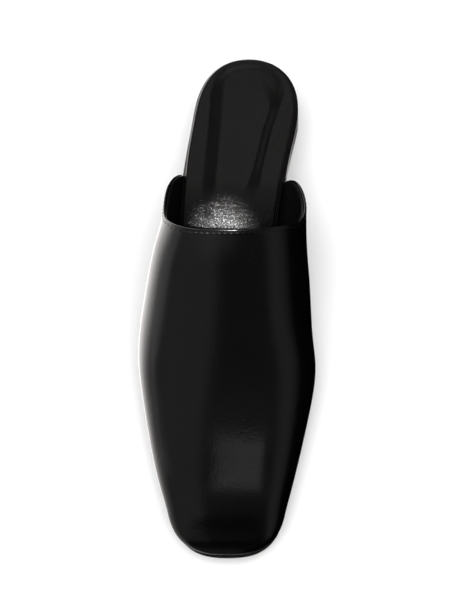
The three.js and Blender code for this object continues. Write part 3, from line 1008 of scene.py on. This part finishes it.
# Brightness of the ceiling from ahead of the toe (-1) to behind the heel (1).
CEILING = table("along brightness", """
    -1.00 0.08
    -0.69 0.08
    -0.60 0.09
    -0.50 0.12
    -0.40 0.15
    -0.22 0.10
    0.00  0.08
    0.30  0.10
    1.00  0.40
""")
# A dull rectangular lamp in the ceiling: its reach across the shoe and along it, as parts of a unit
# direction, and its brightness.
PANEL_ACROSS = (-0.13, 0.42)
PANEL_ALONG = (-0.375, -0.20)
PANEL_SOFT = 0.02
PANEL_GLOW = 0.55
# A dull patch of ceiling over the heel, with a darker border around it.
PATCH_ACROSS = (-0.18, 0.08)
PATCH_ALONG = (-0.04, 0.33)
PATCH_SOFT = 0.04
PATCH_GLOW = 0.48
BORDER_ACROSS = (-0.65, 0.50)
BORDER_ALONG = (-0.12, 0.50)
BORDER_SOFT = 0.06
BORDER_SHADE = 0.96
# Nothing bright stands ahead of the toe: what is left there, and where it fades in.
AHEAD_LEFT = 0.13
AHEAD_ALONG = (-0.83, -0.76)
WINDOW_GLOW = 2.6    # of a bright window low on the outer side, and where it fades in
WINDOW_ANGLES = (-75, -105)
WINDOW_ALONG = (-0.20, 0.14)
WARM = (1.0, 0.965, 0.95, 1)
BACKDROP = 0.9


class Surroundings:
    """The world's node tree, with short ways to add nodes to it."""

    def __init__(self):
        world = bpy.data.worlds.new("studio")
        bpy.context.scene.world = world
        world.use_nodes = True
        self.tree = world.node_tree
        self.background = self.tree.nodes["Background"]

    def add(self, kind, inputs=(), **settings):
        made = self.tree.nodes.new("ShaderNode" + kind)
        for key, value in settings.items():
            setattr(made, key, value)
        for key, value in dict(inputs).items():
            if isinstance(value, bpy.types.NodeSocket):
                self.tree.links.new(value, made.inputs[key])
            else:
                made.inputs[key].default_value = value
        return made

    def math(self, operation, *values):
        return self.add("Math", enumerate(values), operation=operation).outputs[0]

    def fade(self, value, low, high):
        """0 up to low, and softly up to 1 at high."""
        made = self.add("MapRange", {"Value": value, "From Min": low, "From Max": high})
        made.interpolation_type = "SMOOTHSTEP"
        return made.outputs[0]

    def band(self, value, low, high, soft):
        """1 between low and high, and 0 beyond them."""
        enter = self.fade(value, low - soft, low + soft)
        leave = self.fade(value, high - soft, high + soft)
        return self.math("SUBTRACT", enter, leave)

    def curve(self, value, places, levels):
        """A level for a value, straight between the rows of a table."""
        low, high = places[0], places[-1]
        peak = max(levels)
        share = self.add("MapRange", {"Value": value, "From Min": low, "From Max": high}).outputs[0]
        ramp = self.add("ValToRGB", {"Fac": share})
        stops = ramp.color_ramp.elements
        for place, level in zip(places, levels):
            where = (place - low) / (high - low)
            stop = stops[0] if where == 0 else stops[-1] if where == 1 else stops.new(where)
            stop.color = (level / peak,) * 3 + (1,)
        return self.math("MULTIPLY", ramp.outputs["Color"], peak)


def build_world():
    world = Surroundings()
    direction = world.add("SeparateXYZ", {0: world.add("TexCoord").outputs["Generated"]}).outputs
    turn = world.math("DEGREES", world.math("ARCTAN2", direction["X"], direction["Z"]))
    along = direction["Y"]
    sides = world.curve(turn, WALLS["angle"], WALLS["sides"])
    opening = world.curve(turn, WALLS["angle"], WALLS["ceiling"])
    above = world.math("MULTIPLY", opening, world.curve(along, CEILING["along"], CEILING["brightness"]))
    low_side = world.fade(world.math("MULTIPLY", turn, -1.0), -WINDOW_ANGLES[0], -WINDOW_ANGLES[1])
    glow = world.math("MULTIPLY", low_side, world.fade(along, *WINDOW_ALONG))
    panel = world.math("MULTIPLY", world.band(direction["X"], *PANEL_ACROSS, PANEL_SOFT),
                       world.band(along, *PANEL_ALONG, PANEL_SOFT))
    panel = world.math("MULTIPLY", panel, world.math("GREATER_THAN", direction["Z"], 0.0))
    light = world.math("ADD", sides, above)
    light = world.math("MULTIPLY_ADD", panel, PANEL_GLOW, light)
    patch = world.math("MULTIPLY", world.band(direction["X"], *PATCH_ACROSS, PATCH_SOFT),
                       world.band(along, *PATCH_ALONG, PATCH_SOFT))
    border = world.math("MULTIPLY", world.band(direction["X"], *BORDER_ACROSS, BORDER_SOFT),
                        world.band(along, *BORDER_ALONG, BORDER_SOFT))
    light = world.math("MULTIPLY", light, world.math("MULTIPLY_ADD", border, -BORDER_SHADE, 1.0))
    light = world.math("MULTIPLY_ADD", patch, PATCH_GLOW, light)
    ahead = world.fade(along, *AHEAD_ALONG)
    light = world.math("MULTIPLY", light, world.math("MULTIPLY_ADD", ahead, 1 - AHEAD_LEFT, AHEAD_LEFT))
    light = world.math("MULTIPLY_ADD", glow, WINDOW_GLOW, light)
    seen = world.add("LightPath").outputs["Is Camera Ray"]
    shown = world.add("Mix", {"Factor": seen, "A": light, "B": BACKDROP}).outputs["Result"]
    world.background.inputs["Color"].default_value = WARM
    world.tree.links.new(shown, world.background.inputs["Strength"])


def area_light(name, place, aim, width, height, power, reflected=True):
    data = bpy.data.lights.new(name, "AREA")
    data.shape = "RECTANGLE"
    data.size, data.size_y = width, height
    data.energy = power
    light = bpy.data.objects.new(name, data)
    light.location = place
    light.rotation_euler = (Vector(aim) - Vector(place)).to_track_quat("-Z", "Y").to_euler()
    light.visible_glossy = reflected
    bpy.context.scene.collection.objects.link(light)
    return light


# A lamp with a narrow beam that lights the throat of the shoe from over the toe.
LAMP_WAY = Vector((-0.05, -0.22, 0.975))
LAMP_FAR = 1.2
LAMP_BEAM = 1.55      # degrees
LAMP_POWER = 185
LAMP_RADIUS = 0.006
THROAT = Vector((-2.2, 35.5, 36)) * MM


# A white card on the outer side, from the middle of the shoe backwards: its middle and its size in metres.
CARD = Vector((-0.6, 0.41, 0.135))
CARD_SIZE = (1.19, 0.27)
CARD_POWER = 0.5
# The soft light above the shoe: its height, its side in metres and its power.
OVERHEAD_UP = 1.6
OVERHEAD_SIZE = 2.4
OVERHEAD_POWER = 62


def build_lights(low, high):
    centre = (low + high) / 2
    card = area_light("side_card", CARD, Vector((0, CARD.y, CARD.z)), *CARD_SIZE, CARD_POWER)
    card.visible_diffuse = False
    card.visible_camera = False
    above = centre + Vector((0, 0, OVERHEAD_UP))
    area_light("overhead_soft", above, centre, OVERHEAD_SIZE, OVERHEAD_SIZE, OVERHEAD_POWER, reflected=False)
    throat = Vector((centre.x, centre.y, low.z)) + THROAT
    data = bpy.data.lights.new("lamp", "SPOT")
    data.energy = LAMP_POWER
    data.spot_size = math.radians(LAMP_BEAM)
    data.spot_blend = 1.0
    data.shadow_soft_size = LAMP_RADIUS
    lamp = bpy.data.objects.new("lamp", data)
    lamp.location = throat + LAMP_WAY * LAMP_FAR
    lamp.rotation_euler = (-LAMP_WAY).to_track_quat("-Z", "Y").to_euler()
    bpy.context.scene.collection.objects.link(lamp)


def build_floor():
    size, drop = 6.0, 0.0002
    mesh = bpy.data.meshes.new("floor")
    corners = [(-size, -size, -drop), (size, -size, -drop), (size, size, -drop), (-size, size, -drop)]
    mesh.from_pydata(corners, [], [(0, 1, 2, 3)])
    mesh.materials.append(pale_floor())
    floor = bpy.data.objects.new("floor", mesh)
    floor.visible_glossy = False
    bpy.context.scene.collection.objects.link(floor)


EYE = Vector((51, -186.7, 1083.3)) * MM    # from the middle of the shoe's base
LENS = 127.0
SENSOR_WIDTH = 36
CLIP_START = 0.02


def build_camera(low, high):
    data = bpy.data.cameras.new("camera")
    data.lens = LENS
    data.sensor_width = SENSOR_WIDTH
    data.clip_start = CLIP_START
    camera = bpy.data.objects.new("camera", data)
    base = Vector(((low.x + high.x) / 2, (low.y + high.y) / 2, low.z))
    aim = Vector((base.x, base.y, (low.z + high.z) / 2))
    ahead = (aim - (base + EYE)).normalized()
    right = ahead.cross(Vector((0, 1, 0))).normalized()
    up = right.cross(ahead)
    turn = Matrix((right, up, -ahead)).transposed().to_4x4()
    camera.matrix_world = Matrix.Translation(base + EYE) @ turn
    bpy.context.scene.collection.objects.link(camera)
    bpy.context.scene.camera = camera


low, high = cad_bounds
build_camera(low, high)
build_shoe()
build_floor()
build_world()
build_lights(low, high)
bpy.context.scene.view_settings.view_transform = "Standard"
